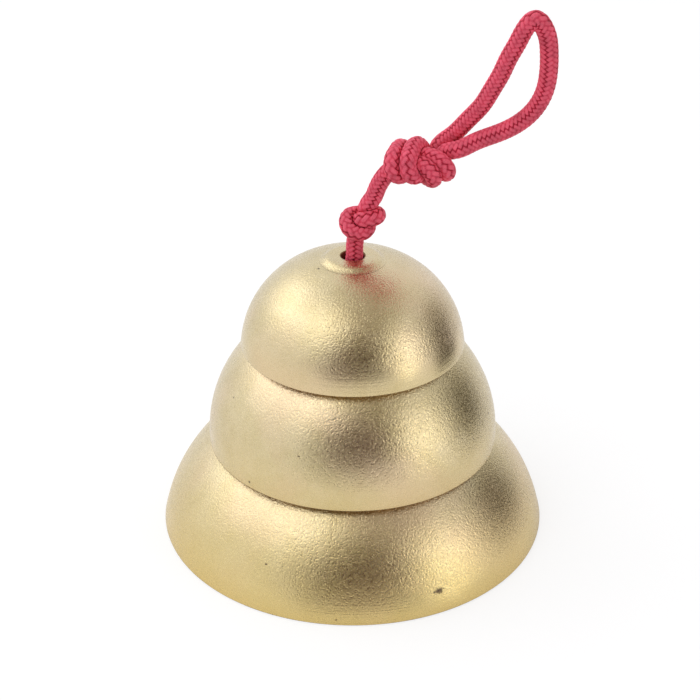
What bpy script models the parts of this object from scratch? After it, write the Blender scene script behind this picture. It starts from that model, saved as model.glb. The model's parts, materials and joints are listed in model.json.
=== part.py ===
"""Three nested cup bells of cast bronze, threaded on one knotted cord with a hanging loop.

The origin is the middle of the ring that the large bell stands on. +Z is the bells' common
axis, and the loop leans towards +X. Lengths are in metres.
"""

import math

import bmesh
import bpy
import numpy as np
from mathutils import Vector

MM = 0.001

# Large bell, the outer and lowest one
LARGE_RIM_RADIUS = 45.0 * MM
LARGE_HEIGHT = 32.0 * MM
LARGE_SHOULDER_RADIUS = 35.0 * MM
LARGE_WALL_HEIGHT = 2.0 * MM
LARGE_WALL_LEAN = math.radians(15.0)

# Middle bell
MIDDLE_RIM_RADIUS = 33.4 * MM
MIDDLE_HEIGHT = 31.4 * MM
MIDDLE_SHOULDER_RADIUS = 30.0 * MM
MIDDLE_WALL_HEIGHT = 1.0 * MM
MIDDLE_WALL_LEAN = math.radians(0.0)

# Top bell
TOP_RIM_RADIUS = 25.4 * MM
TOP_HEIGHT = 20.8 * MM
TOP_SHOULDER_RADIUS = 22.6 * MM
TOP_WALL_HEIGHT = 1.0 * MM
TOP_WALL_LEAN = math.radians(7.6)

# What the three bells share
BELL_WALL = 2.5 * MM
RIM_ROUNDING = 0.3 * MM
BOSS_DIAMETER = 12.6 * MM
BOSS_RISE = 0.45 * MM
BOSS_ROUNDING = 0.5 * MM
HOLE_DIAMETER = 5.2 * MM
NEST_GAP = 0.3 * MM
BELL_FACETS = 48
CROWN_STEPS = 5
SHOULDER_STEPS = 7
SHARP_ANGLE = math.radians(35.0)
BRONZE_COLOR = (0.78, 0.66, 0.42)

# Cord
CORD_DIAMETER = 3.8 * MM
KNOTTED_DIAMETER = 2.65 * MM
TOUCH_GAP = 0.3 * MM
HOLE_SIDE_SHIFT = 0.4 * MM
KNOT_SCALE = 0.75
LOOP_KNOT_ACROSS = 0.84
LOOP_KNOT_ALONG = 0.88
STACK_TRAVEL = 10.0 * MM
TAIL_LENGTH = 3.0 * MM
HOLE_EXIT_RISE = 1.2 * MM
STRAIGHT_STEP = 9.5 * MM
CORD_STEP = 1.7 * MM
END_STEPS = 3
TIP_ANGLE = math.radians(12.0)
CROSSING_REACH = 3.0 * CORD_DIAMETER
THINNING_LEAD = 0.7
BRAID_COLOR = (0.61, 0.07, 0.14)

# Places that the loop and the knots in it take above the top bell
NECK_KNOT_RISE = 8.0 * MM
NECK_KNOT_SIDE = 2.3 * MM
NECK_LEAN = math.radians(20.0)
NECK_TURN = math.radians(60.0)
NECK_STRAIGHT = 1.3 * MM
LOOP_KNOT_SIDE = 14.0 * MM
LOOP_KNOT_RISE = 22.1 * MM
LOOP_KNOT_TILT = math.radians(30.0)
LOOP_KNOT_PULL = math.radians(10.0)
LOOP_KNOT_TURN = math.radians(45.0)

# One half of a tight overhand knot, from its middle to the strand that leaves along +Y.
# Lengths are in cord diameters, and the other half is this one turned half round about X.
OVERHAND_HALF = (
    (1.00, 0.00, 0.00),
    (0.85, -0.25, -1.00),
    (0.45, -0.50, -1.35),
    (-0.35, -0.90, -1.35),
    (-0.80, -1.00, -0.95),
    (-1.05, -0.80, -0.15),
    (-0.85, -0.50, 0.30),
    (-0.25, 0.15, 0.50),
    (0.05, 0.55, 0.35),
    (0.10, 0.95, 0.25),
    (0.02, 1.35, 0.05),
    (0.00, 1.60, 0.00),
    (0.00, 1.85, 0.00),
)
OVERHAND_REACH = 1.05

# One strand of the doubled overhand knot that closes the loop, from the neck's side to the
# loop's side along +Y. The other strand is this one turned half round about X.
DOUBLED_STRAND = (
    (0.85, -1.15, -0.15),
    (0.50, -0.40, -0.45),
    (0.10, 0.40, -0.60),
    (-0.50, 1.05, -0.60),
    (-1.05, 1.55, -0.10),
    (-1.05, 1.75, 0.75),
    (-0.40, 1.60, 1.35),
    (0.45, 1.30, 1.30),
    (1.30, 1.00, 1.10),
    (1.70, 0.65, 0.40),
    (1.50, 0.40, -0.40),
    (1.10, 0.15, -1.20),
    (0.40, -0.20, -1.55),
    (-0.50, -0.50, -1.50),
    (-1.25, -0.75, -1.20),
    (-1.65, -0.75, -0.40),
    (-1.35, -0.40, 0.35),
    (-0.70, 0.25, 0.50),
    (-0.30, 1.05, 0.40),
)

# The two strands that leave the knot for the loop, and its hidden tail, in the same diameters
# and axes, in the order that the cord runs
BACK_LIMB = (1.05, 1.85, 0.00)
FRONT_LIMB = (-0.10, 1.85, 0.50)
KNOT_TAIL = (1.10, -1.55, 0.05)

# The loop's own route from the knot's back strand round to its front strand: how far it stands
# to the side of the bells' axis, how far behind it, and how high above the large bell's rim
LOOP_ROUTE = (
    (22.8 * MM, 4.6 * MM, 96.2 * MM),
    (28.6 * MM, 1.5 * MM, 103.3 * MM),
    (31.8 * MM, 0.5 * MM, 110.1 * MM),
    (33.9 * MM, 0.0 * MM, 115.9 * MM),
    (35.3 * MM, 0.0 * MM, 119.2 * MM),
    (37.3 * MM, 0.0 * MM, 121.1 * MM),
    (39.3 * MM, 0.0 * MM, 119.2 * MM),
    (40.5 * MM, 0.0 * MM, 115.0 * MM),
    (40.7 * MM, 0.0 * MM, 110.5 * MM),
    (39.7 * MM, 0.0 * MM, 106.0 * MM),
    (37.1 * MM, 0.0 * MM, 100.7 * MM),
    (32.2 * MM, 0.3 * MM, 97.0 * MM),
    (27.2 * MM, 0.2 * MM, 94.3 * MM),
)


class BellShape:
    """The turned outline of a bell: a straight wall at the rim, a shoulder arc and a crown arc."""

    def __init__(self, rim_radius, height, shoulder_radius, wall_height, wall_lean):
        self.rim_radius = rim_radius
        self.height = height
        self.shoulder_radius = shoulder_radius
        self.wall_height = wall_height
        self.wall_lean = wall_lean
        wall_top_radius = rim_radius - wall_height * math.tan(wall_lean)
        self.shoulder_x = wall_top_radius - shoulder_radius * math.cos(wall_lean)
        self.shoulder_z = wall_height - shoulder_radius * math.sin(wall_lean)
        drop = self.shoulder_z - height
        self.crown_radius = (shoulder_radius**2 - drop**2 - self.shoulder_x**2) / (
            2 * (drop + shoulder_radius)
        )
        self.crown_z = height - self.crown_radius
        self.meeting_angle = math.atan2(self.shoulder_z - self.crown_z, self.shoulder_x)

    def inner_rim_radius(self):
        return self.rim_radius - BELL_WALL / math.cos(self.wall_lean)

    def height_at(self, radius, outward=0.0):
        """How high the surface, moved outward by a distance, stands at a radius."""
        shoulder = self.shoulder_radius + outward
        if radius > self.shoulder_x + shoulder * math.cos(self.meeting_angle):
            return self.shoulder_z + math.sqrt(shoulder**2 - (radius - self.shoulder_x) ** 2)
        return self.crown_z + math.sqrt((self.crown_radius + outward) ** 2 - radius**2)

    def side(self, inward, crown_from):
        """Points of one side, from a radius near the crown's hole down to the straight wall."""
        crown_radius = self.crown_radius - inward
        shoulder_radius = self.shoulder_radius - inward
        first = math.acos(crown_from / crown_radius)
        points = []
        for step in range(CROWN_STEPS):
            angle = first + (self.meeting_angle - first) * step / CROWN_STEPS
            points.append(
                (crown_radius * math.cos(angle), self.crown_z + crown_radius * math.sin(angle))
            )
        for step in range(SHOULDER_STEPS + 1):
            angle = self.meeting_angle + (self.wall_lean - self.meeting_angle) * step / SHOULDER_STEPS
            points.append(
                (
                    self.shoulder_x + shoulder_radius * math.cos(angle),
                    self.shoulder_z + shoulder_radius * math.sin(angle),
                )
            )
        return points

    def outline(self):
        """The closed section of the wall, as (radius, height) points."""
        hole = HOLE_DIAMETER / 2
        boss = BOSS_DIAMETER / 2
        boss_top = self.height + BOSS_RISE
        boss_foot = boss + BOSS_ROUNDING
        corner = BOSS_ROUNDING * (1 - math.sqrt(0.5))
        slope = math.tan(self.wall_lean)
        points = [(hole, boss_top - RIM_ROUNDING), (hole + RIM_ROUNDING, boss_top)]
        points.append((boss - BOSS_ROUNDING, boss_top))
        points.append((boss - corner, boss_top - corner))
        points.append((boss, boss_top - BOSS_ROUNDING))
        points += self.side(0.0, boss_foot)
        points.append((self.rim_radius - RIM_ROUNDING * slope, RIM_ROUNDING))
        points.append((self.rim_radius - RIM_ROUNDING, 0.0))
        points.append((self.inner_rim_radius() + RIM_ROUNDING, 0.0))
        points.append((self.inner_rim_radius() - RIM_ROUNDING * slope, RIM_ROUNDING))
        points += reversed(self.side(BELL_WALL, hole))
        return points

    def underside(self):
        """The lowest point of the crown's inner face, at the edge of its hole."""
        return self.height_at(HOLE_DIAMETER / 2, -BELL_WALL)


def make_material(name, color, metallic, roughness):
    material = bpy.data.materials.new(name)
    material.use_nodes = True
    shader = material.node_tree.nodes["Principled BSDF"]
    shader.inputs["Base Color"].default_value = (*color, 1.0)
    shader.inputs["Metallic"].default_value = metallic
    shader.inputs["Roughness"].default_value = roughness
    return material


def add_bell(name, shape, rim_height, material):
    """A bell turned from its section, standing with its rim at a height on the common axis."""
    mesh = bpy.data.meshes.new(name)
    bell = bmesh.new()
    corners = [bell.verts.new((radius, 0.0, height)) for radius, height in shape.outline()]
    edges = [bell.edges.new((a, b)) for a, b in zip(corners, corners[1:] + corners[:1])]
    bmesh.ops.spin(
        bell,
        geom=corners + edges,
        cent=(0.0, 0.0, 0.0),
        axis=(0.0, 0.0, 1.0),
        angle=2 * math.pi,
        steps=BELL_FACETS,
        use_merge=True,
    )
    bmesh.ops.recalc_face_normals(bell, faces=bell.faces)
    bell.to_mesh(mesh)
    bell.free()
    mesh.materials.append(material)
    mesh.shade_smooth()
    mesh.set_sharp_from_angle(angle=SHARP_ANGLE)
    obj = bpy.data.objects.new(name, mesh)
    obj.location = (0.0, 0.0, rim_height)
    bpy.context.collection.objects.link(obj)
    return obj


def smooth_path(route, step):
    """Points about a step apart on the smooth curve through a route, each with its place on the route.

    A place is counted in route points: 2.5 is half way from the third point to the fourth.
    """
    route = np.array([tuple(point) for point in route])
    lengths = np.linalg.norm(np.diff(route, axis=0), axis=1)
    count = len(route)
    system = np.eye(count)
    bends = np.zeros((count, 3))
    for i in range(1, count - 1):
        before, after = lengths[i - 1], lengths[i]
        system[i, i - 1 : i + 2] = (before, 2 * (before + after), after)
        bends[i] = 6 * ((route[i + 1] - route[i]) / after - (route[i] - route[i - 1]) / before)
    bends = np.linalg.solve(system, bends)
    path = []
    for i in range(count - 1):
        pieces = max(1, round(lengths[i] / step))
        for piece in range(pieces):
            share = piece / pieces
            path.append((i + share, Vector(spline_point(route, bends, lengths, i, share))))
    path.append((count - 1, Vector(route[-1])))
    return path


def spline_point(route, bends, lengths, i, share):
    """A point on the stretch i of a cubic spline, at a share of its length."""
    rest = 1.0 - share
    pull = (rest**3 - rest) * bends[i] + (share**3 - share) * bends[i + 1]
    return rest * route[i] + share * route[i + 1] + pull * lengths[i] ** 2 / 6


def overhand_knot():
    """A whole tight overhand knot, in cord diameters, from its end at -Y to its end at +Y."""
    first_half = [(x, -y, -z) for x, y, z in reversed(OVERHAND_HALF[1:])]
    return first_half + list(OVERHAND_HALF)


def place(points, centre, axes, across, along):
    """Points given in cord diameters, put at a centre, and scaled across and along the pull on Y."""
    x_axis, y_axis, z_axis = (CORD_DIAMETER * axis for axis in axes)
    return [
        centre + across * (x * x_axis + z * z_axis) + along * y * y_axis for x, y, z in points
    ]


def straight_points(start, end):
    """The points that divide a straight run evenly, without its two ends."""
    pieces = max(2, round((end - start).length / STRAIGHT_STEP))
    return [start.lerp(end, piece / pieces) for piece in range(1, pieces)]


def neck_axes():
    """The neck knot's axes: its pull leans towards +X, and its wide side faces the front."""
    right = Vector((math.cos(NECK_LEAN), 0.0, -math.sin(NECK_LEAN)))
    up = Vector((math.sin(NECK_LEAN), 0.0, math.cos(NECK_LEAN)))
    front = Vector((0.0, -1.0, 0.0))
    x_axis = -math.cos(NECK_TURN) * right - math.sin(NECK_TURN) * front
    z_axis = math.sin(NECK_TURN) * right - math.cos(NECK_TURN) * front
    return x_axis, up, z_axis


def upright_axes():
    """The hidden knots' axes, with their pull straight up."""
    return Vector((0.0, -1.0, 0.0)), Vector((0.0, 0.0, 1.0)), Vector((-1.0, 0.0, 0.0))


def loop_knot_axes():
    """The loop knot's axes: its pull rises a little to the right, and it is turned about its pull."""
    right = Vector((1.0, 0.0, 0.0))
    up = Vector((0.0, math.sin(LOOP_KNOT_TILT), math.cos(LOOP_KNOT_TILT)))
    back = up.cross(right)
    pull = math.cos(LOOP_KNOT_PULL) * right + math.sin(LOOP_KNOT_PULL) * up
    down = math.sin(LOOP_KNOT_PULL) * right - math.cos(LOOP_KNOT_PULL) * up
    x_axis = math.cos(LOOP_KNOT_TURN) * back - math.sin(LOOP_KNOT_TURN) * down
    z_axis = math.cos(LOOP_KNOT_TURN) * down + math.sin(LOOP_KNOT_TURN) * back
    return x_axis, pull, z_axis


def add_cord(name, route, knots, origin, material, round_start=False, round_end=False):
    """One unbroken tube along a route, drawn thinner on each knot, from one route point to another."""
    path = smooth_path(route, CORD_STEP)
    points = [point for mark, point in path]
    radii = []
    for mark, point in path:
        knotted = any(first <= mark <= last for first, last in knots)
        radii.append((KNOTTED_DIAMETER if knotted else CORD_DIAMETER) / 2)
    radii = eased(radii)
    if round_start:
        points, radii = rounded_end(points, radii)
    if round_end:
        points, radii = rounded_end(points[::-1], radii[::-1])
        points, radii = points[::-1], radii[::-1]
    curve = bpy.data.curves.new(name, "CURVE")
    curve.dimensions = "3D"
    curve.bevel_depth = CORD_DIAMETER / 2
    curve.bevel_resolution = 2
    curve.use_fill_caps = True
    spline = curve.splines.new("POLY")
    spline.points.add(len(points) - 1)
    for knot, point, radius in zip(spline.points, points, radii):
        knot.co = (*(point - origin), 1.0)
        knot.radius = radius / (CORD_DIAMETER / 2)
    spline.use_smooth = True
    curve.materials.append(material)
    obj = bpy.data.objects.new(name, curve)
    obj.location = origin
    bpy.context.collection.objects.link(obj)
    print(name, "least gap to itself", round(least_gap(points, radii) / MM, 2), "mm")
    return obj


def eased(radii):
    """The radii with each change spread over three points."""
    ends = [radii[0], *radii, radii[-1]]
    return [sum(ends[i : i + 3]) / 3 for i in range(len(radii))]


def rounded_end(points, radii):
    """A half-round start in place of a flat one, centred on the first point."""
    ahead = (points[1] - points[0]).normalized()
    radius = radii[0]
    cap = []
    cap_radii = []
    for step in range(END_STEPS):
        angle = TIP_ANGLE + (math.pi / 2 - TIP_ANGLE) * step / END_STEPS
        cap.append(points[0] - ahead * radius * math.cos(angle))
        cap_radii.append(radius * math.sin(angle))
    return cap + points, cap_radii + radii


def least_gap(points, radii):
    """The least distance between the tube's surfaces, where they are far enough apart along it to cross."""
    places = np.array([tuple(point) for point in points])
    radii = np.array(radii)
    marks = np.concatenate([[0.0], np.cumsum(np.linalg.norm(np.diff(places, axis=0), axis=1))])
    apart = np.linalg.norm(places[:, None] - places[None, :], axis=2)
    gaps = apart - radii[:, None] - radii[None, :]
    far = np.abs(marks[:, None] - marks[None, :]) > CROSSING_REACH
    return gaps[far].min() if far.any() else float("inf")


for old in list(bpy.data.objects):
    bpy.data.objects.remove(old)

bronze = make_material("satin_cast_bronze", BRONZE_COLOR, 1.0, 0.35)
braid = make_material("raspberry_braided_cord", BRAID_COLOR, 0.0, 0.8)

# The bells, each seated on the dome of the one below
large_shape = BellShape(
    LARGE_RIM_RADIUS, LARGE_HEIGHT, LARGE_SHOULDER_RADIUS, LARGE_WALL_HEIGHT, LARGE_WALL_LEAN
)
middle_shape = BellShape(
    MIDDLE_RIM_RADIUS, MIDDLE_HEIGHT, MIDDLE_SHOULDER_RADIUS, MIDDLE_WALL_HEIGHT, MIDDLE_WALL_LEAN
)
top_shape = BellShape(
    TOP_RIM_RADIUS, TOP_HEIGHT, TOP_SHOULDER_RADIUS, TOP_WALL_HEIGHT, TOP_WALL_LEAN
)
middle_rim = large_shape.height_at(middle_shape.inner_rim_radius(), NEST_GAP)
top_rim = middle_rim + middle_shape.height_at(top_shape.inner_rim_radius(), NEST_GAP)
boss_face = top_rim + TOP_HEIGHT + BOSS_RISE
print("rims at", round(middle_rim / MM, 2), round(top_rim / MM, 2), "boss", round(boss_face / MM, 2))

add_bell("large_bell", large_shape, 0.0, bronze)
add_bell("middle_bell", middle_shape, middle_rim, bronze)
add_bell("top_bell", top_shape, top_rim, bronze)

# The cord's hidden knots, each just under the crown that it holds, or a travel below it
knot_half = CORD_DIAMETER * KNOT_SCALE * OVERHAND_REACH + KNOTTED_DIAMETER / 2
tail_knot_height = large_shape.underside() - TOUCH_GAP - STACK_TRAVEL - knot_half
middle_knot_height = middle_rim + middle_shape.underside() - TOUCH_GAP - knot_half
top_knot_height = top_rim + top_shape.underside() - TOUCH_GAP - knot_half
tail_knot, middle_knot, top_knot = (
    place(overhand_knot(), Vector((0.0, 0.0, height)), upright_axes(), KNOT_SCALE, KNOT_SCALE)
    for height in (tail_knot_height, middle_knot_height, top_knot_height)
)
knot_points = len(tail_knot)
last_point = knot_points - 1
tail_end = tail_knot[0] - Vector((0.0, 0.0, TAIL_LENGTH))
lower_run = straight_points(tail_knot[-1], middle_knot[0])
middle_first = 1 + knot_points + len(lower_run)
add_cord(
    "lower_cord",
    [tail_end, *tail_knot, *lower_run, *middle_knot],
    [(1, 1 + last_point), (middle_first, middle_first + last_point)],
    Vector((0.0, 0.0, 0.0)),
    braid,
    round_start=True,
)

slack_start = middle_knot[-1] + Vector((0.0, 0.0, TOUCH_GAP))
slack_end = top_knot[0] - Vector((0.0, 0.0, TOUCH_GAP))
add_cord("slack_cord", [slack_start, slack_end], [], Vector((0.0, 0.0, 0.0)), braid)

# Above the top knot the cord passes the crown against one side of its hole, and is knotted again
hole_pass = [
    Vector((HOLE_SIDE_SHIFT, 0.0, boss_face)),
    Vector((HOLE_SIDE_SHIFT, 0.0, boss_face + HOLE_EXIT_RISE)),
]
neck_centre = Vector((NECK_KNOT_SIDE, 0.0, boss_face + NECK_KNOT_RISE))
neck_knot = place(overhand_knot()[1:-1], neck_centre, neck_axes(), KNOT_SCALE, KNOT_SCALE)
neck_first = knot_points + len(hole_pass)
add_cord(
    "upper_cord",
    [*top_knot, *hole_pass, *neck_knot],
    [(0, last_point), (neck_first, neck_first + len(neck_knot) - 1)],
    Vector((0.0, 0.0, 0.0)),
    braid,
)

# The loop with its doubled knot, which swings about a point just above the neck knot
neck_up = neck_axes()[1]
pivot = neck_knot[-1] + neck_up * (CORD_DIAMETER / 2 + TOUCH_GAP)
loop_centre = Vector((LOOP_KNOT_SIDE, 0.0, boss_face + LOOP_KNOT_RISE))
other_strand = [(x, -y, -z) for x, y, z in DOUBLED_STRAND]
neck_strand = [*reversed(other_strand), BACK_LIMB]
tail_strand = [FRONT_LIMB, *reversed(DOUBLED_STRAND), KNOT_TAIL]
neck_stretch = [pivot, pivot + neck_up * NECK_STRAIGHT]
neck_side, tail_side = (
    place(strand, loop_centre, loop_knot_axes(), LOOP_KNOT_ACROSS, LOOP_KNOT_ALONG)
    for strand in (neck_strand, tail_strand)
)
loop_route = [Vector(point) for point in LOOP_ROUTE]
neck_side_first = len(neck_stretch)
neck_side_last = neck_side_first + len(neck_side) - 1
tail_side_first = neck_side_last + len(loop_route) + 1
tail_side_last = tail_side_first + len(tail_side) - 1
add_cord(
    "loop_cord",
    [*neck_stretch, *neck_side, *loop_route, *tail_side],
    [
        (neck_side_first - THINNING_LEAD, neck_side_last + THINNING_LEAD),
        (tail_side_first - THINNING_LEAD, tail_side_last),
    ],
    pivot,
    braid,
    round_start=True,
    round_end=True,
)
print("neck pivot", [round(value / MM, 2) for value in pivot])
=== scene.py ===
import json
import math

import bmesh
import bpy
import numpy as np
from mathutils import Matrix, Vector


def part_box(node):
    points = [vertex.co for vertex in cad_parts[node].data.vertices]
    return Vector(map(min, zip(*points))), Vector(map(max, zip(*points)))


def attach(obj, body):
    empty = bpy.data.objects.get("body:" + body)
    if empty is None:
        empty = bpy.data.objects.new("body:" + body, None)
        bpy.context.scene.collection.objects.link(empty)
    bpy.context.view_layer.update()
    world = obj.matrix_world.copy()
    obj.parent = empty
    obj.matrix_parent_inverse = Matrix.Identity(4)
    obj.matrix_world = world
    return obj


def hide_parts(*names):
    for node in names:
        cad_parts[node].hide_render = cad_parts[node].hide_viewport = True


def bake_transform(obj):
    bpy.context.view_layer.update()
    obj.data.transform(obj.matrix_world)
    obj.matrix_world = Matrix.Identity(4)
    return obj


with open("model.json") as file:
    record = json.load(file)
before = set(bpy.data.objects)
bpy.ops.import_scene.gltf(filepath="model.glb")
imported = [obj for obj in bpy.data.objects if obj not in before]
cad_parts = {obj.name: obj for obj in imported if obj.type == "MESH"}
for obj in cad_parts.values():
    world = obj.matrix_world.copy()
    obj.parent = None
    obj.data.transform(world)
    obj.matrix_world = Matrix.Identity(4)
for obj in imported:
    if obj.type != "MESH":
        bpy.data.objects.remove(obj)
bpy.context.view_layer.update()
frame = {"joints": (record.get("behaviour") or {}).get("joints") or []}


# The camera, at the photograph's viewing angle: from the front, looking about 30 degrees down
# on the bells, at the distance that gives their three rims the ovals that the photograph shows.
VIEW_RISE = math.radians(29.93)
VIEW_DISTANCE = 0.3663
AIM_HEIGHT = 0.0433
CAMERA_SIDE = -0.0006
LENS = 82.56


def add_object(name, data):
    """An object with the given data, put into the scene."""
    item = bpy.data.objects.new(name, data)
    bpy.context.collection.objects.link(item)
    return item


bpy.context.scene.view_settings.view_transform = "Standard"
camera_data = bpy.data.cameras.new("camera")
camera_data.lens = LENS
camera = add_object("camera", camera_data)
camera.location = (
    CAMERA_SIDE,
    -VIEW_DISTANCE * math.cos(VIEW_RISE),
    AIM_HEIGHT + VIEW_DISTANCE * math.sin(VIEW_RISE),
)
camera.rotation_euler = (math.pi / 2 - VIEW_RISE, 0.0, 0.0)
bpy.context.scene.camera = camera


# The cord, one length of raspberry synthetic cord, braided over two and under two from sixteen
# strands. Its lower run hangs inside the bells: a melted tail, the stop knot that will carry the
# large bell, the stop knot that carries the middle one, and the slack between two nested bells.
CORD_DIAMETER = 0.0038
BRAID_PAIRS = 8
BRAID_LEAD = 0.00856
STEPS_PER_STRAND = 6
RING_STEP = BRAID_LEAD / BRAID_PAIRS / STEPS_PER_STRAND
RING_SIDES = BRAID_PAIRS * STEPS_PER_STRAND
SPLINE_STEPS = 40

# The relief is 1 on a strand's crest, less at its rounded edges, and least where a strand dives
BRAID_RADIUS = 0.00196
BRAID_DEPTH = 0.00028
EDGE_HEIGHT = 0.5
STRAND_ROUNDNESS = 2.4
STRAND_NUDGE = 1e-6
# A strand dives from this share of its float on, steeply at one end and softly at the other
DIVE_FROM = 0.6
STEEP_DIVE = 0.80
SOFT_DIVE = 0.35
DIVE_CURVE = 1.5

# Strands this far apart along the cord press each other flat where they meet, a hair's gap apart
CROSSING_REACH = 0.0050
PRESSED_GAP = 0.00004
LEAST_FACING = 1e-4
BEND_FILL = 0.93
LEAST_BEND = 1.0
# A melted end's flat face, as a share of the cord's full section
MELTED_FACE = 0.02

# By height on the relief: painted shade in the crevices, the dye on the strands' sides and a painted
# highlight on their crests
BRAID_DYE_SHADE_HIGHLIGHT = ((0.30, (0.22, 0.0, 0.005)), (0.62, (0.73, 0.030, 0.072)), (0.95, (0.97, 0.135, 0.210)))
BRAID_ROUGHNESS = 0.52
BRAID_SPECULAR = 0.25
FIBRE_SCALE = 6.5
DYE_PATCH_SCALE = 420.0
UNEVEN_SPAN = (0.65, 1.35)
UNEVEN_SHADES = (0.70, 1.30)
FIBRE_BUMP = 0.8
FIBRE_DEPTH = 0.00022

# A knot's points are in cord diameters, with its pull along Y
OVERHAND_HALF = (
    (1.00, 0.00, 0.00),
    (0.85, -0.25, -1.00),
    (0.45, -0.50, -1.35),
    (-0.35, -0.90, -1.35),
    (-0.80, -1.00, -0.95),
    (-1.05, -0.80, -0.15),
    (-0.85, -0.50, 0.30),
    (-0.25, 0.15, 0.50),
    (0.05, 0.55, 0.35),
    (0.10, 0.95, 0.25),
    (0.02, 1.35, 0.05),
    (0.00, 1.60, 0.00),
    (0.00, 1.85, 0.00),
)
KNOT_SCALE = 0.75
UPRIGHT_AXES = (Vector((0.0, -1.0, 0.0)), Vector((0.0, 0.0, 1.0)), Vector((-1.0, 0.0, 0.0)))
TAIL_KNOT_HEIGHT = 0.01446
MIDDLE_KNOT_HEIGHT = 0.04617
TOP_KNOT_HEIGHT = 0.05977
TAIL_LENGTH = 0.0030
STRETCH_SHARES = (0.33, 0.67)
SLACK_END = 0.0542


def distances_along(points):
    """How far along a line each of its points is."""
    return np.concatenate([[0.0], np.cumsum(np.linalg.norm(np.diff(points, axis=0), axis=1))])


def smooth_path(route):
    """Points an even ring step apart on the smooth curve through a route's points."""
    route = np.array([tuple(point) for point in route])
    lengths = np.linalg.norm(np.diff(route, axis=0), axis=1)
    count = len(route)
    system = np.eye(count)
    bends = np.zeros((count, 3))
    for i in range(1, count - 1):
        before, after = lengths[i - 1], lengths[i]
        system[i, i - 1 : i + 2] = (before, 2 * (before + after), after)
        bends[i] = 6 * ((route[i + 1] - route[i]) / after - (route[i] - route[i - 1]) / before)
    bends = np.linalg.solve(system, bends)
    share = np.linspace(0.0, 1.0, SPLINE_STEPS, endpoint=False)[:, None]
    rest = 1.0 - share
    dense = []
    for i in range(count - 1):
        pull = (rest**3 - rest) * bends[i] + (share**3 - share) * bends[i + 1]
        dense.append(rest * route[i] + share * route[i + 1] + pull * lengths[i] ** 2 / 6)
    dense = np.concatenate([*dense, route[-1:]])
    marks = distances_along(dense)
    even = np.linspace(0.0, marks[-1], round(marks[-1] / RING_STEP) + 1)
    return np.stack([np.interp(even, marks, dense[:, axis]) for axis in range(3)], axis=1)


def turned_over(strand):
    """A knot's strand after half a turn about the knot's X axis."""
    return [(x, -y, -z) for x, y, z in strand]


def overhand_knot():
    """A whole tight overhand knot, in cord diameters, from its end at -Y to its end at +Y."""
    return [*reversed(turned_over(OVERHAND_HALF[1:])), *OVERHAND_HALF]


def place(points, centre, axes, across, along):
    """Points given in cord diameters, put at a centre, and scaled across and along the pull on Y."""
    x_axis, y_axis, z_axis = (CORD_DIAMETER * axis for axis in axes)
    return [centre + across * (x * x_axis + z * z_axis) + along * y * y_axis for x, y, z in points]


def skin_radius(path, outward, marks):
    """How far the cord's skin can stand out at each ring and side, where strands press together.

    A strand that meets another is flattened against the plane half way between the two, and the
    inner side of a tight bend is drawn in, so that it doesn't fold through itself.
    """
    radius = np.full(outward.shape[:2], BRAID_RADIUS)
    ahead = np.gradient(path, marks, axis=0)
    curving = np.gradient(ahead, marks, axis=0)
    inward = np.einsum("rsk,rk->rs", outward, curving)
    radius = np.minimum(radius, BEND_FILL / np.maximum(inward, LEAST_BEND))
    for ring in range(len(path)):
        across = path - path[ring]
        apart = np.linalg.norm(across, axis=1)
        near = (np.abs(marks - marks[ring]) > CROSSING_REACH) & (apart < 2 * BRAID_RADIUS)
        if not near.any():
            continue
        other_way = across[near] / apart[near, None]
        facing = np.maximum(outward[ring] @ other_way.T, LEAST_FACING)
        limit = (apart[near] / 2 - PRESSED_GAP) / facing
        radius[ring] = np.minimum(radius[ring], limit.min(axis=1))
    return radius


def braid_relief(marks):
    """The braid's height from crevice to crest, and the place across and along the strand on top."""
    around = np.arange(RING_SIDES)[None, :] / RING_SIDES * BRAID_PAIRS
    along = marks[:, None] / BRAID_LEAD * BRAID_PAIRS
    right_hand = around + along
    left_hand = around - along
    # An even step along both hands lands on their crevices, so each is read just inside its strand
    right_strand = np.floor(right_hand + STRAND_NUDGE)
    left_strand = np.floor(left_hand + STRAND_NUDGE)
    right_side = right_hand - right_strand - 0.5
    left_side = left_hand - left_strand - 0.5
    column = np.mod(right_strand + left_strand, 4)
    right_on_top = column < 2
    second = np.mod(column, 2) == 1
    across = np.where(right_on_top, right_side, left_side)
    run = np.where(right_on_top, left_side, right_side)
    float_place = np.where(second, run + 0.5, run - 0.5)
    round_side = np.sqrt(np.clip(1 - np.abs(2 * across) ** STRAND_ROUNDNESS, 0.0, 1.0))
    steep = np.where(right_on_top, -float_place, float_place) > 0
    end_share = np.clip((np.abs(float_place) - DIVE_FROM) / (1 - DIVE_FROM), 0.0, 1.0)
    dive = np.where(steep, STEEP_DIVE, SOFT_DIVE) * end_share**DIVE_CURVE
    relief = (EDGE_HEIGHT + (1 - EDGE_HEIGHT) * round_side) * (1 - dive)
    return relief, across, np.broadcast_to(along, relief.shape)


def melted_end(distance):
    """The share of its full radius that the cord has, so far from a melted end."""
    return np.sqrt(np.clip(1 - (1 - distance / BRAID_RADIUS).clip(0.0) ** 2, MELTED_FACE, 1.0))


def round_tube(name, path):
    """A plain round tube's mesh, with one ring at each point of a path."""
    curve = bpy.data.curves.new(name, "CURVE")
    curve.dimensions = "3D"
    curve.bevel_depth = CORD_DIAMETER / 2
    # A bevel of resolution n has 2n + 4 sides
    curve.bevel_resolution = RING_SIDES // 2 - 2
    spline = curve.splines.new("POLY")
    spline.points.add(len(path) - 1)
    for knot, point in zip(spline.points, path):
        knot.co = (*point, 1.0)
    tube = add_object(name, curve)
    depsgraph = bpy.context.evaluated_depsgraph_get()
    mesh = bpy.data.meshes.new_from_object(tube.evaluated_get(depsgraph))
    bpy.data.objects.remove(tube)
    mesh.name = name
    return mesh


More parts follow.
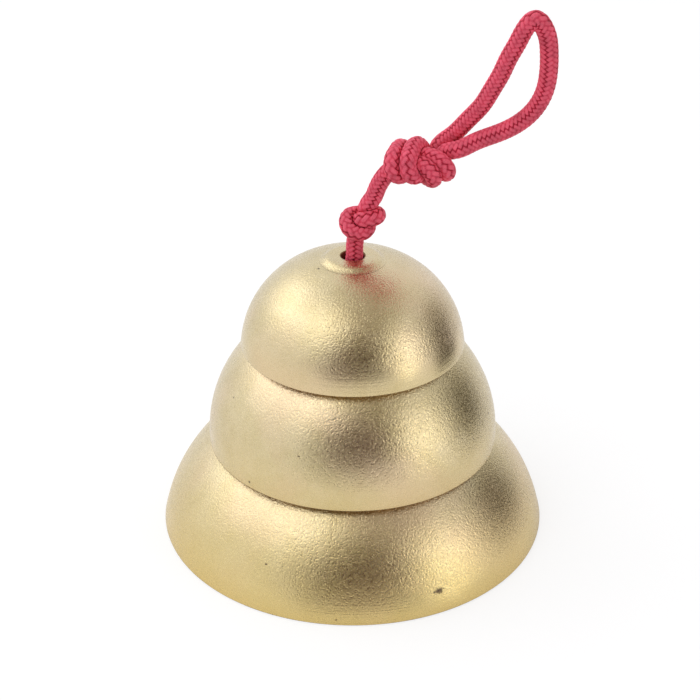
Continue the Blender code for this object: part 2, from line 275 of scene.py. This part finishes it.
def braided_cord(name, route, round_start=False, round_end=False):
    """A braided cord as one closed skin along a route, and the line that it follows."""
    path = smooth_path(route)
    marks = distances_along(path)
    mesh = round_tube(name, path)
    skin = np.array([vertex.co for vertex in mesh.vertices]).reshape(len(path), RING_SIDES, 3)
    outward = skin - path[:, None]
    outward /= np.linalg.norm(outward, axis=2, keepdims=True)
    relief, across, along = braid_relief(marks)
    radius = skin_radius(path, outward, marks) - BRAID_DEPTH * (1 - relief)
    closing = np.ones(len(path))
    if round_start:
        closing *= melted_end(marks)
    if round_end:
        closing *= melted_end(marks[-1] - marks)
    skin = path[:, None] + outward * (radius * closing[:, None])[:, :, None]
    mesh.vertices.foreach_set("co", skin.reshape(-1))

    for field, values in (("relief", relief), ("across", across), ("along", along)):
        attribute = mesh.attributes.new(field, "FLOAT", "POINT")
        attribute.data.foreach_set("value", values.reshape(-1).astype(np.float32))
    shell = bmesh.new()
    shell.from_mesh(mesh)
    open_edges = [edge for edge in shell.edges if edge.is_boundary]
    bmesh.ops.holes_fill(shell, edges=open_edges, sides=RING_SIDES)
    bmesh.ops.recalc_face_normals(shell, faces=shell.faces)
    shell.to_mesh(mesh)
    shell.free()
    mesh.shade_smooth()
    return add_object(name, mesh), path


def new_material(name):
    """A material with its node tree and its main shader, still plain."""
    material = bpy.data.materials.new(name)
    material.use_nodes = True
    return material, material.node_tree, material.node_tree.nodes["Principled BSDF"]


def feed(tree, node, inputs):
    """Sets a node's inputs to values, or feeds them from other nodes' outputs."""
    for socket, value in inputs.items():
        if isinstance(value, bpy.types.NodeSocket):
            tree.links.new(value, node.inputs[socket])
        else:
            node.inputs[socket].default_value = value


def add_node(tree, kind, inputs=None, **settings):
    """A new shader node with its settings and its inputs."""
    node = tree.nodes.new(kind)
    for setting, value in settings.items():
        setattr(node, setting, value)
    feed(tree, node, inputs or {})
    return node


def spot_on_piece(tree):
    """Where on the piece each point lies, for the textures to follow."""
    return add_node(tree, "ShaderNodeTexCoord").outputs["Object"]


def noise(tree, spot, scale, detail, roughness=0.5):
    """A noise texture's shade at each spot."""
    inputs = {"Vector": spot, "Scale": scale, "Detail": detail, "Roughness": roughness}
    return add_node(tree, "ShaderNodeTexNoise", inputs).outputs["Fac"]


def stretched(tree, value, given, wanted, interpolation="LINEAR"):
    """A shader value stretched so that one pair of values becomes another, and held outside them."""
    inputs = {
        "Value": value,
        "From Min": given[0],
        "From Max": given[1],
        "To Min": wanted[0],
        "To Max": wanted[1],
    }
    node = add_node(tree, "ShaderNodeMapRange", inputs, interpolation_type=interpolation)
    return node.outputs["Result"]


def worked_out(tree, operation, *values):
    """The result of one sum on shader values."""
    node = add_node(tree, "ShaderNodeMath", dict(enumerate(values)), operation=operation)
    return node.outputs["Value"]


def colors_along(tree, value, stops):
    """The colour that a value has between stops, each a share and a colour."""
    node = add_node(tree, "ShaderNodeValToRGB", {"Fac": value})
    elements = node.color_ramp.elements
    for element, (share, color) in ((elements[0], stops[0]), (elements[1], stops[-1])):
        element.position = share
        element.color = (*color, 1.0)
    for share, color in stops[1:-1]:
        elements.new(share).color = (*color, 1.0)
    return node.outputs["Color"]


def add_bump(tree, shader, height, strength, distance):
    """Gives a shader the look of a relief that follows a height."""
    inputs = {"Height": height, "Strength": strength, "Distance": distance}
    feed(tree, shader, {"Normal": add_node(tree, "ShaderNodeBump", inputs).outputs["Normal"]})


def braid_material():
    """Dyed synthetic braid with fine fibres, a painted highlight on its crests and painted deep crimson
    shade in its crevices.
    """
    material, tree, shader = new_material("raspberry_braid")
    relief, across, along = (
        add_node(tree, "ShaderNodeAttribute", attribute_name=field).outputs["Fac"]
        for field in ("relief", "across", "along")
    )
    # The dye, with painted shade darkening the crevices and a painted highlight brightening the crests,
    # set by the relief
    dye_shade_highlight = colors_along(tree, relief, BRAID_DYE_SHADE_HIGHLIGHT)

    # Fibres run along each strand, so they are stripes across it, broken up along the cord
    on_strand = add_node(tree, "ShaderNodeCombineXYZ", {"X": across, "Y": along})
    fibres = noise(tree, on_strand.outputs["Vector"], FIBRE_SCALE, detail=3.0, roughness=0.65)
    patches = noise(tree, spot_on_piece(tree), DYE_PATCH_SCALE, detail=4.0)
    shade = stretched(tree, worked_out(tree, "ADD", patches, fibres), UNEVEN_SPAN, UNEVEN_SHADES)
    tint = add_node(tree, "ShaderNodeVectorMath", {0: dye_shade_highlight, "Scale": shade}, operation="SCALE")
    surface = {
        "Base Color": tint.outputs["Vector"],
        "Roughness": BRAID_ROUGHNESS,
        "Specular IOR Level": BRAID_SPECULAR,
    }
    feed(tree, shader, surface)
    add_bump(tree, shader, fibres, FIBRE_BUMP, FIBRE_DEPTH)
    return material


tail_knot, middle_knot, top_knot = (
    place(overhand_knot(), Vector((0.0, 0.0, height)), UPRIGHT_AXES, KNOT_SCALE, KNOT_SCALE)
    for height in (TAIL_KNOT_HEIGHT, MIDDLE_KNOT_HEIGHT, TOP_KNOT_HEIGHT)
)
tail_end = tail_knot[0] - Vector((0.0, 0.0, TAIL_LENGTH + CORD_DIAMETER / 2))
stretch = [tail_knot[-1].lerp(middle_knot[0], share) for share in STRETCH_SHARES]
lower_route = [tail_end, *tail_knot, *stretch, *middle_knot, Vector((0.0, 0.0, SLACK_END))]

braid = braid_material()
lower_run, lower_path = braided_cord("lower_cord_braid", lower_route, round_start=True)
lower_run.data.materials.append(braid)
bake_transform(lower_run)
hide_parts("lower_cord", "slack_cord")


# The cord's upper run: the stop knot that carries the top bell, the pass through the hole in its
# crown, a single overhand knot on the neck, and the doubled overhand knot that closes the loop
# that the stack hangs by. It is the same cord, and the loop stands up by the braid's own stiffness.
BOSS_FACE = 0.06741
HOLE_SIDE_SHIFT = 0.0004
HOLE_EXIT_RISE = 0.0012
NECK_KNOT_RISE = 0.0087
NECK_KNOT_SIDE = 0.0020
NECK_KNOT_SCALE = 0.55
NECK_LEAN = math.radians(20.0)
NECK_TURN = math.radians(60.0)
NECK_STRAIGHT = 0.0013
LOOP_KNOT_SIDE = 0.0140
LOOP_KNOT_RISE = 0.0221
LOOP_KNOT_ACROSS = 0.60
LOOP_KNOT_ALONG = 0.86
LOOP_KNOT_TILT = math.radians(30.0)
LOOP_KNOT_PULL = math.radians(10.0)
LOOP_KNOT_TURN = math.radians(45.0)
# One of the loop knot's two strands, and the cord's ways into and out of the knot
DOUBLED_STRAND = (
    (0.85, -1.15, -0.15),
    (0.50, -0.40, -0.45),
    (0.10, 0.40, -0.60),
    (-0.50, 1.05, -0.60),
    (-1.05, 1.55, -0.10),
    (-1.05, 1.75, 0.75),
    (-0.40, 1.60, 1.35),
    (0.45, 1.30, 1.30),
    (1.30, 1.00, 1.10),
    (1.70, 0.65, 0.40),
    (1.50, 0.40, -0.40),
    (1.10, 0.15, -1.20),
    (0.40, -0.20, -1.55),
    (-0.50, -0.50, -1.50),
    (-1.25, -0.75, -1.20),
    (-1.65, -0.75, -0.40),
    (-1.35, -0.40, 0.35),
    (-0.70, 0.25, 0.50),
    (-0.30, 1.05, 0.40),
)
BACK_LIMB = (1.45, 1.55, -0.35)
FRONT_LIMB = (0.42, 1.75, -0.21)
KNOT_TAIL = (1.10, -1.55, 0.05)
# The loop's own route, in metres, out of the knot at the back and into it again at the front
LOOP_ROUTE = (
    (0.02105, 0.0042, 0.0939),
    (0.02435, 0.0034, 0.09775),
    (0.0273, 0.0022, 0.10175),
    (0.0292, 0.0012, 0.1057),
    (0.03085, 0.0006, 0.10925),
    (0.0322, 0.0002, 0.1128),
    (0.0338, 0.0, 0.1161),
    (0.0350, 0.0, 0.1187),
    (0.0373, 0.0, 0.1211),
    (0.0393, 0.0, 0.1190),
    (0.0404, 0.0, 0.1148),
    (0.0406, 0.0, 0.1100),
    (0.0400, 0.0, 0.1056),
    (0.0380, 0.0, 0.1015),
    (0.0346, 0.0, 0.0983),
    (0.0303, 0.0002, 0.0960),
    (0.0258, 0.0003, 0.0941),
    (0.0224, 0.0004, 0.0924),
)


def neck_axes():
    """The neck knot's axes: its pull leans towards +X, and its wide side faces the front."""
    right = Vector((math.cos(NECK_LEAN), 0.0, -math.sin(NECK_LEAN)))
    up = Vector((math.sin(NECK_LEAN), 0.0, math.cos(NECK_LEAN)))
    front = Vector((0.0, -1.0, 0.0))
    x_axis = -math.cos(NECK_TURN) * right - math.sin(NECK_TURN) * front
    z_axis = math.sin(NECK_TURN) * right - math.cos(NECK_TURN) * front
    return x_axis, up, z_axis


def loop_knot_axes():
    """The loop knot's axes: its pull rises a little to the right, and it is turned about its pull."""
    right = Vector((1.0, 0.0, 0.0))
    up = Vector((0.0, math.sin(LOOP_KNOT_TILT), math.cos(LOOP_KNOT_TILT)))
    back = up.cross(right)
    pull = math.cos(LOOP_KNOT_PULL) * right + math.sin(LOOP_KNOT_PULL) * up
    down = math.sin(LOOP_KNOT_PULL) * right - math.cos(LOOP_KNOT_PULL) * up
    x_axis = math.cos(LOOP_KNOT_TURN) * back - math.sin(LOOP_KNOT_TURN) * down
    z_axis = math.cos(LOOP_KNOT_TURN) * down + math.sin(LOOP_KNOT_TURN) * back
    return x_axis, pull, z_axis


hole_pass = [
    Vector((HOLE_SIDE_SHIFT, 0.0, BOSS_FACE)),
    Vector((HOLE_SIDE_SHIFT, 0.0, BOSS_FACE + HOLE_EXIT_RISE)),
]
neck_centre = Vector((NECK_KNOT_SIDE, 0.0, BOSS_FACE + NECK_KNOT_RISE))
neck_knot = place(overhand_knot()[1:-1], neck_centre, neck_axes(), NECK_KNOT_SCALE, NECK_KNOT_SCALE)
neck_up = neck_axes()[1]
pivot = Vector(next(joint["pos_m"] for joint in frame["joints"] if joint["name"] == "neck_swing"))
loop_centre = Vector((LOOP_KNOT_SIDE, 0.0, BOSS_FACE + LOOP_KNOT_RISE))
neck_side, tail_side = (
    place(strand, loop_centre, loop_knot_axes(), LOOP_KNOT_ACROSS, LOOP_KNOT_ALONG)
    for strand in (
        [*reversed(turned_over(DOUBLED_STRAND)), BACK_LIMB],
        [FRONT_LIMB, *reversed(DOUBLED_STRAND), KNOT_TAIL],
    )
)
upper_route = [
    *top_knot,
    *hole_pass,
    *neck_knot,
    pivot,
    pivot + neck_up * NECK_STRAIGHT,
    *neck_side,
    *[Vector(point) for point in LOOP_ROUTE],
    *tail_side,
]

upper_run, upper_path = braided_cord("upper_cord_braid", upper_route, round_end=True)
upper_run.data.materials.append(braid)
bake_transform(upper_run)
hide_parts("upper_cord", "loop_cord")


# The large bell, a shallow cup cast in bell bronze and turned, with a flat rim to stand on and a
# low boss round the cord's hole in its crown. It is blasted to a satin grain all over.
BELL_WALL = 0.0025
RIM_ROUNDING = 0.0003
BOSS_FLAT = 0.0052
BOSS_FOOT = 0.0074
BOSS_RISE = 0.00045
BOSS_STEPS = 10
HOLE_RADIUS = 0.0026
HOLE_ROUNDING = 0.0003
BELL_STEPS = 192
CROWN_STEPS = 24
SHOULDER_STEPS = 26
ROUNDING_STEPS = 4
ROUNDING_REACH = 0.9
FACING_IN = 0.1
SHARP_ANGLE = math.radians(40.0)

# The finish: a fine grain with coarser dimples in it, a thin clear coat, cloudy colour with rosy
# patches from handling and a warm tone low down, and a brushed band with turning lines at the rim
NOISE_SPAN = (0.3, 0.7)
GRAIN_SCALE = 4200.0
DIMPLE_SCALE = 2150.0
DIMPLE_SHARE = 0.55
CAST_ROUGHNESS = (0.24, 0.33)
BAND_ROUGHNESS = 0.27
BAND_HEIGHTS = (0.0035, 0.0065)
BAND_SHARE = 0.75
LINE_STRETCH = (28.0, 28.0, 4200.0)
LINE_DEPTHS = (0.33, 0.67)
FINISH_BUMP = 0.55
FINISH_DEPTH = 0.00028
COAT_SHARE = 0.6
COAT_ROUGHNESS = 0.35
CLOUD_SCALE = 140.0
CLOUD_COLORS = ((0.30, (0.66, 0.530, 0.270)), (0.70, (0.77, 0.635, 0.370)))
HANDLED_SCALE = 42.0
HANDLED_SPAN = (0.46, 0.66)
HANDLED_SHARE = 0.55
ROSY_BRONZE = (0.81, 0.595, 0.390)
WARM_BRONZE = (0.78, 0.585, 0.200)
# Casting flaws: tiny specks, a few of which show, and one larger pit low on the large bell
SPECK_SCALE = 260.0
SPECK_EDGE = (0.03, 0.09)
SPECK_SHARE = 0.10
PIT_PLACE = (0.0189, -0.0392, 0.0050)
PIT_STRETCH = (0.65, 0.65, 1.30)
PIT_RAGGEDNESS = 0.0016
PIT_EDGE = (0.0011, 0.0018)
FLAW_COLOR = (0.13, 0.085, 0.040)
# The insides as cast, sandy and stained
AS_CAST_COLORS = ((0.32, (0.22, 0.140, 0.068)), (0.68, (0.47, 0.335, 0.170)))
AS_CAST_ROUGHNESS = (0.48, 0.66)
SAND_SCALE = 900.0
STAIN_SCALE = 90.0
SAND_BUMP = 0.6
SAND_DEPTH = 0.0004


class BellShape:
    """The turned outline of a bell: a straight wall at the rim, a shoulder arc and a crown arc."""

    def __init__(self, rim_radius, height, shoulder_radius, wall_height, wall_lean):
        self.rim_radius = rim_radius
        self.height = height
        self.shoulder_radius = shoulder_radius
        self.wall_lean = wall_lean
        wall_top_radius = rim_radius - wall_height * math.tan(wall_lean)
        self.shoulder_x = wall_top_radius - shoulder_radius * math.cos(wall_lean)
        self.shoulder_z = wall_height - shoulder_radius * math.sin(wall_lean)
        drop = self.shoulder_z - height
        self.crown_radius = (shoulder_radius**2 - drop**2 - self.shoulder_x**2) / (
            2 * (drop + shoulder_radius)
        )
        self.crown_z = height - self.crown_radius
        self.meeting_angle = math.atan2(self.shoulder_z - self.crown_z, self.shoulder_x)

    def side(self, inward, crown_from):
        """Points of one side, from a radius near the crown's hole down to the straight wall."""
        crown_radius = self.crown_radius - inward
        shoulder_radius = self.shoulder_radius - inward
        first = math.acos(crown_from / crown_radius)
        points = []
        for step in range(CROWN_STEPS):
            angle = first + (self.meeting_angle - first) * step / CROWN_STEPS
            height = self.crown_z + crown_radius * math.sin(angle)
            points.append((crown_radius * math.cos(angle), height))
        for step in range(SHOULDER_STEPS + 1):
            angle = self.meeting_angle + (self.wall_lean - self.meeting_angle) * step / SHOULDER_STEPS
            height = self.shoulder_z + shoulder_radius * math.sin(angle)
            points.append((self.shoulder_x + shoulder_radius * math.cos(angle), height))
        return points

    def section(self):
        """The wall's closed section, as (radius, height) points, and the corners to ease in it."""
        boss_top = self.height + BOSS_RISE
        inner_rim = self.rim_radius - BELL_WALL / math.cos(self.wall_lean)
        outer_side = self.side(0.0, BOSS_FOOT)
        inner_side = self.side(BELL_WALL, HOLE_RADIUS)
        points = [(HOLE_RADIUS, boss_top)]
        for step in range(BOSS_STEPS):
            share = step / BOSS_STEPS
            fall = (1 - math.cos(math.pi * share)) / 2
            radius = BOSS_FLAT + (BOSS_FOOT - BOSS_FLAT) * share
            dome = self.crown_z + math.sqrt(self.crown_radius**2 - radius**2)
            points.append((radius, boss_top + (dome - boss_top) * fall))
        points += outer_side
        rim_corner = len(points)
        points += [(self.rim_radius, 0.0), (inner_rim, 0.0), *reversed(inner_side)]
        return points, {0: HOLE_ROUNDING, rim_corner: RIM_ROUNDING}


def eased_corner(before, corner, after, size):
    """Points of a smooth curve that cuts a corner off, starting so far from it on each side."""
    back = before - corner
    ahead = after - corner
    reach = min(size, back.length * ROUNDING_REACH, ahead.length * ROUNDING_REACH)
    start = corner + back.normalized() * reach
    end = corner + ahead.normalized() * reach
    shares = [step / ROUNDING_STEPS for step in range(ROUNDING_STEPS + 1)]
    return [start.lerp(corner, share).lerp(corner.lerp(end, share), share) for share in shares]


def put_in_order(shell):
    """Puts edges and faces in the order of their points, since a spin orders them anew each run."""
    shell.verts.index_update()
    count = len(shell.verts)

    def rank(part):
        numbers = [vertex.index for vertex in part.verts]
        return min(numbers) * count + max(numbers)

    shell.edges.sort(key=rank)
    shell.faces.sort(key=rank)


def turned_bell(name, shape, rim_height):
    """A bell spun from its section, with its corners eased, standing at its rim's height."""
    section, corners = shape.section()
    points = [Vector((radius, 0.0, height + rim_height)) for radius, height in section]
    eased = []
    for i, point in enumerate(points):
        if i in corners:
            eased += eased_corner(points[i - 1], point, points[i + 1], corners[i])
        else:
            eased.append(point)
    bell = bmesh.new()
    ring = [bell.verts.new(point) for point in eased]
    edges = [bell.edges.new((a, b)) for a, b in zip(ring, ring[1:] + ring[:1])]
    bmesh.ops.spin(
        bell,
        geom=ring + edges,
        cent=(0.0, 0.0, 0.0),
        axis=(0.0, 0.0, 1.0),
        angle=2 * math.pi,
        steps=BELL_STEPS,
        use_merge=True,
    )
    bmesh.ops.recalc_face_normals(bell, faces=bell.faces)
    put_in_order(bell)
    # The inner side and the rim's face are left as cast
    for face in bell.faces:
        centre = face.calc_center_median()
        outward = Vector((centre.x, centre.y, 0.0)).normalized().dot(face.normal)
        face.material_index = int(outward < -FACING_IN or face.normal.z < -FACING_IN)
    mesh = bpy.data.meshes.new(name)
    bell.to_mesh(mesh)
    bell.free()
    mesh.shade_smooth()
    mesh.set_sharp_from_angle(angle=SHARP_ANGLE)
    return add_object(name, mesh)


def mixed(tree, share, first, second, kind="FLOAT"):
    """A mix of two shader values, or with kind RGBA of two colours."""
    inputs = {"Factor": share, "A": first, "B": second}
    return add_node(tree, "ShaderNodeMix", inputs, data_type=kind).outputs["Result"]


def casting_specks(tree, spot):
    """A shader value that is 1 on the few tiny specks that the casting left."""
    specks = add_node(tree, "ShaderNodeTexVoronoi", {"Vector": spot, "Scale": SPECK_SCALE})
    speck = stretched(tree, specks.outputs["Distance"], SPECK_EDGE, (1.0, 0.0))
    chance = add_node(tree, "ShaderNodeSeparateColor", {"Color": specks.outputs["Color"]})
    shows = worked_out(tree, "LESS_THAN", chance.outputs["Red"], SPECK_SHARE)
    return worked_out(tree, "MULTIPLY", speck, shows)


def casting_pit(tree, spot, dimples):
    """A shader value that is 1 in the one larger pit, which has a ragged edge."""
    from_pit = {
        "Vector": spot,
        "Location": [-middle * stretch for middle, stretch in zip(PIT_PLACE, PIT_STRETCH)],
        "Scale": PIT_STRETCH,
    }
    offset = add_node(tree, "ShaderNodeMapping", from_pit).outputs["Vector"]
    distance = add_node(tree, "ShaderNodeVectorMath", {0: offset}, operation="LENGTH")
    ragged = worked_out(tree, "MULTIPLY_ADD", dimples, PIT_RAGGEDNESS, distance.outputs["Value"])
    return stretched(tree, ragged, PIT_EDGE, (1.0, 0.0))


def bronze_material(name, rim_height, warm_height, warm_share, has_pit=False):
    """Satin cast bronze: a blasted grain that glints, turning lines near the rim, and casting flaws."""
    material, tree, shader = new_material(name)
    spot = spot_on_piece(tree)
    height = add_node(tree, "ShaderNodeSeparateXYZ", {"Vector": spot}).outputs["Z"]
    grain = noise(tree, spot, GRAIN_SCALE, detail=1.0)
    dimples = noise(tree, spot, DIMPLE_SCALE, detail=1.0)

    # Turning lines: noise that changes with height and hardly at all round the bell
    line_spot = add_node(tree, "ShaderNodeMapping", {"Vector": spot, "Scale": LINE_STRETCH})
    lines = noise(tree, line_spot.outputs["Vector"], scale=1.0, detail=2.0)
    lines = stretched(tree, lines, (0.0, 1.0), LINE_DEPTHS)
    band = stretched(tree, height, [rim_height + edge for edge in BAND_HEIGHTS], (BAND_SHARE, 0.0))
    roughness = stretched(tree, dimples, NOISE_SPAN, CAST_ROUGHNESS)

    clouds = noise(tree, spot, CLOUD_SCALE, detail=5.0, roughness=0.65)
    color = colors_along(tree, clouds, CLOUD_COLORS)
    handled = noise(tree, spot, HANDLED_SCALE, detail=2.0)
    handled = stretched(tree, handled, HANDLED_SPAN, (0.0, HANDLED_SHARE))
    color = mixed(tree, handled, color, (*ROSY_BRONZE, 1.0), "RGBA")
    warmth = stretched(tree, height, (rim_height, rim_height + warm_height), (warm_share, 0.0))
    color = mixed(tree, warmth, color, (*WARM_BRONZE, 1.0), "RGBA")
    flaws = casting_specks(tree, spot)
    if has_pit:
        flaws = worked_out(tree, "MAXIMUM", flaws, casting_pit(tree, spot, dimples))
    color = mixed(tree, flaws, color, (*FLAW_COLOR, 1.0), "RGBA")

    surface = {
        "Base Color": color,
        "Metallic": 1.0,
        "Roughness": mixed(tree, band, roughness, BAND_ROUGHNESS),
        "Coat Weight": COAT_SHARE,
        "Coat Roughness": COAT_ROUGHNESS,
    }
    feed(tree, shader, surface)
    relief = mixed(tree, band, mixed(tree, DIMPLE_SHARE, grain, dimples), lines)
    sunk = worked_out(tree, "SUBTRACT", relief, flaws)
    add_bump(tree, shader, sunk, FINISH_BUMP, FINISH_DEPTH)
    return material


def inside_material():
    """The bells' insides and rim faces, left as cast: darker, brown and rough."""
    material, tree, shader = new_material("as_cast_bronze")
    spot = spot_on_piece(tree)
    sand = noise(tree, spot, SAND_SCALE, detail=4.0, roughness=0.6)
    stains = noise(tree, spot, STAIN_SCALE, detail=4.0, roughness=0.6)
    surface = {
        "Base Color": colors_along(tree, stains, AS_CAST_COLORS),
        "Metallic": 1.0,
        "Roughness": stretched(tree, sand, NOISE_SPAN, AS_CAST_ROUGHNESS),
    }
    feed(tree, shader, surface)
    add_bump(tree, shader, sand, SAND_BUMP, SAND_DEPTH)
    return material


as_cast = inside_material()
large_shape = BellShape(
    rim_radius=0.0450,
    height=0.0320,
    shoulder_radius=0.0350,
    wall_height=0.0020,
    wall_lean=math.radians(15.0),
)
large_bell = turned_bell("large_bell_turned", large_shape, 0.0)
large_bell.data.materials.append(
    bronze_material("large_bell_bronze", 0.0, warm_height=0.021, warm_share=0.80, has_pit=True)
)
large_bell.data.materials.append(as_cast)
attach(large_bell, "standing_bell")
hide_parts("large_bell")


# The middle bell, of the same casting, with a nearly upright rim that stands on the large bell's
# dome. It hangs from the cord's middle knot when the stack is lifted.
MIDDLE_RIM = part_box("middle_bell")[0].z
middle_shape = BellShape(
    rim_radius=0.0334,
    height=0.0314,
    shoulder_radius=0.0300,
    wall_height=0.0010,
    wall_lean=0.0,
)
middle_bell = turned_bell("middle_bell_turned", middle_shape, MIDDLE_RIM)
middle_bell.data.materials.append(
    bronze_material("middle_bell_bronze", MIDDLE_RIM, warm_height=0.010, warm_share=0.35)
)
middle_bell.data.materials.append(as_cast)
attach(middle_bell, "middle_turner")
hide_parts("middle_bell")


# The top bell, of the same casting and nearly a half ball, which stands on the middle bell's dome
# and hangs from the knot just under its crown. The cord comes out of the hole in its boss.
TOP_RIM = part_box("top_bell")[0].z
top_shape = BellShape(
    rim_radius=0.0254,
    height=0.0208,
    shoulder_radius=0.0226,
    wall_height=0.0010,
    wall_lean=math.radians(7.6),
)
top_bell = turned_bell("top_bell_turned", top_shape, TOP_RIM)
top_bell.data.materials.append(
    bronze_material("top_bell_bronze", TOP_RIM, warm_height=0.006, warm_share=0.15)
)
top_bell.data.materials.append(as_cast)
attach(top_bell, "top_turner")
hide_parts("top_bell")


# The studio: a plain pale floor that keeps the stack's soft shadow, a white surround, and three
# large soft lamps, high at the front left, at the left back, and a narrow warm one at the right.
# The room that the metal mirrors is pale, and dark low in front of the stack.
FLOOR_SIZE = 6.0
FLOOR_DROP = 0.0001
# The share of light that the floor scatters, and its own glow: seen by the camera, mirrored in the
# metal, and for all other light
FLOOR_SEEN = (0.38, 0.70)
FLOOR_MIRRORED = (0.85, 0.16)
FLOOR_OTHERWISE = (0.80, 0.0)
ROOM_COLOR = (0.90, 0.92, 0.97)
# Darker parts of the room: degrees right of the front, degrees up, the angles from their middles
# where they end and where they are full, and the colour
DARKER_PARTS = (
    (70.0, 75.0, 44.0, 16.0, (0.56, 0.55, 0.54)),
    (5.0, 18.0, 46.0, 22.0, (0.070, 0.037, 0.023)),
    (22.0, 66.0, 32.0, 10.0, (0.33, 0.29, 0.25)),
    (110.0, 6.0, 32.0, 10.0, (0.32, 0.28, 0.22)),
)
LAMP_DISTANCE = 1.1
LAMP_AIM = Vector((0.0, 0.0, 0.04))
WHITE = (1.0, 1.0, 1.0)
WARM_WHITE = (1.0, 0.96, 0.90)
FLAG_WIDTH = 0.085
FLAG_HEIGHT = 0.11
FLAG_DISTANCE = 0.15
FLAG_SIDE = 100.0
FLAG_COLOR = (0.085, 0.070, 0.045)


def flat_sheet(name, width, height):
    """A flat sheet that only sets the scene."""
    sheet = bmesh.new()
    bmesh.ops.create_grid(sheet, x_segments=1, y_segments=1, size=0.5)
    bmesh.ops.scale(sheet, vec=(width, height, 1.0), verts=sheet.verts)
    mesh = bpy.data.meshes.new(name)
    sheet.to_mesh(mesh)
    sheet.free()
    item = add_object(name, mesh)
    return item


def lit_sheet(tree, share, glow):
    """A floor finish that scatters a share of the light, and adds a glow of its own."""
    scatter = add_node(tree, "ShaderNodeBsdfDiffuse", {"Color": (share, share, share, 1.0)})
    own_light = add_node(tree, "ShaderNodeEmission", {"Strength": glow})
    both = {0: scatter.outputs["BSDF"], 1: own_light.outputs["Emission"]}
    return add_node(tree, "ShaderNodeAddShader", both).outputs["Shader"]


def chosen(tree, share, first, second):
    """The first of two shaders where a share is 0, and the second where it is 1."""
    return add_node(tree, "ShaderNodeMixShader", {0: share, 1: first, 2: second}).outputs["Shader"]


def towards(side, rise):
    """The direction that lies so many degrees right of the front, and so many above the floor."""
    side, rise = math.radians(side), math.radians(rise)
    return Vector((math.sin(side) * math.cos(rise), -math.cos(side) * math.cos(rise), math.sin(rise)))


def room_side(tree, view, direction, edge, core):
    """A shader value that rises smoothly from 0 to 1 towards the middle of one side of the room."""
    both = {0: view, 1: direction}
    closeness = add_node(tree, "ShaderNodeVectorMath", both, operation="DOT_PRODUCT")
    ends = [math.cos(math.radians(angle)) for angle in (edge, core)]
    return stretched(tree, closeness.outputs["Value"], ends, (0.0, 1.0), "SMOOTHSTEP")


def soft_lamp(name, side, rise, width, height, power, color=WHITE):
    """A large soft lamp that faces the stack."""
    lamp_data = bpy.data.lights.new(name, "AREA")
    lamp_data.shape = "RECTANGLE"
    lamp_data.size = width
    lamp_data.size_y = height
    lamp_data.energy = power
    lamp_data.color = color
    lamp = add_object(name, lamp_data)
    lamp.location = LAMP_AIM + towards(side, rise) * LAMP_DISTANCE
    lamp.rotation_euler = towards(side, rise).to_track_quat("Z", "Y").to_euler()


floor = flat_sheet("floor", FLOOR_SIZE, FLOOR_SIZE)
floor.location.z = -FLOOR_DROP
floor_material, tree, shader = new_material("pale_floor")
tree.nodes.remove(shader)
rays = add_node(tree, "ShaderNodeLightPath").outputs
in_metal = worked_out(tree, "MAXIMUM", rays["Is Glossy Ray"], rays["Is Transmission Ray"])
unseen = chosen(tree, in_metal, lit_sheet(tree, *FLOOR_OTHERWISE), lit_sheet(tree, *FLOOR_MIRRORED))
finish = chosen(tree, rays["Is Camera Ray"], unseen, lit_sheet(tree, *FLOOR_SEEN))
feed(tree, tree.nodes["Material Output"], {"Surface": finish})
floor.data.materials.append(floor_material)

world = bpy.data.worlds.new("studio")
world.use_nodes = True
bpy.context.scene.world = world
tree = world.node_tree
view = add_node(tree, "ShaderNodeTexCoord").outputs["Generated"]
color = (*ROOM_COLOR, 1.0)
for side, rise, edge, core, darker in DARKER_PARTS:
    share = room_side(tree, view, towards(side, rise), edge, core)
    color = mixed(tree, share, color, (*darker, 1.0), "RGBA")
room = tree.nodes["Background"]
feed(tree, room, {"Color": color})
white = add_node(tree, "ShaderNodeBackground", {"Color": (*WHITE, 1.0)})
rays = add_node(tree, "ShaderNodeLightPath").outputs
surround = chosen(tree, rays["Is Camera Ray"], room.outputs["Background"], white.outputs["Background"])
feed(tree, tree.nodes["World Output"], {"Surface": surround})

soft_lamp("key_lamp", side=-43.0, rise=53.0, width=0.74, height=0.76, power=1.9)
soft_lamp("left_lamp", side=-112.0, rise=36.0, width=0.95, height=0.60, power=1.75)
soft_lamp("right_lamp", side=56.0, rise=13.0, width=0.30, height=0.80, power=1.4, color=WARM_WHITE)

# An upright flag of brown cloth on the right, which only reflections show, keeps the metal's right
# side deep
flag = flat_sheet("dark_flag", FLAG_WIDTH, FLAG_HEIGHT)
flag.location = towards(FLAG_SIDE, 0.0) * FLAG_DISTANCE + Vector((0.0, 0.0, FLAG_HEIGHT / 2))
flag.rotation_euler = towards(FLAG_SIDE, 0.0).to_track_quat("Z", "Y").to_euler()
flag.visible_camera = False
flag.visible_shadow = False
flag.visible_diffuse = False
cloth, tree, shader = new_material("brown_cloth")
feed(tree, shader, {"Base Color": (*FLAG_COLOR, 1.0), "Roughness": 1.0, "Specular IOR Level": 0.0})
flag.data.materials.append(cloth)
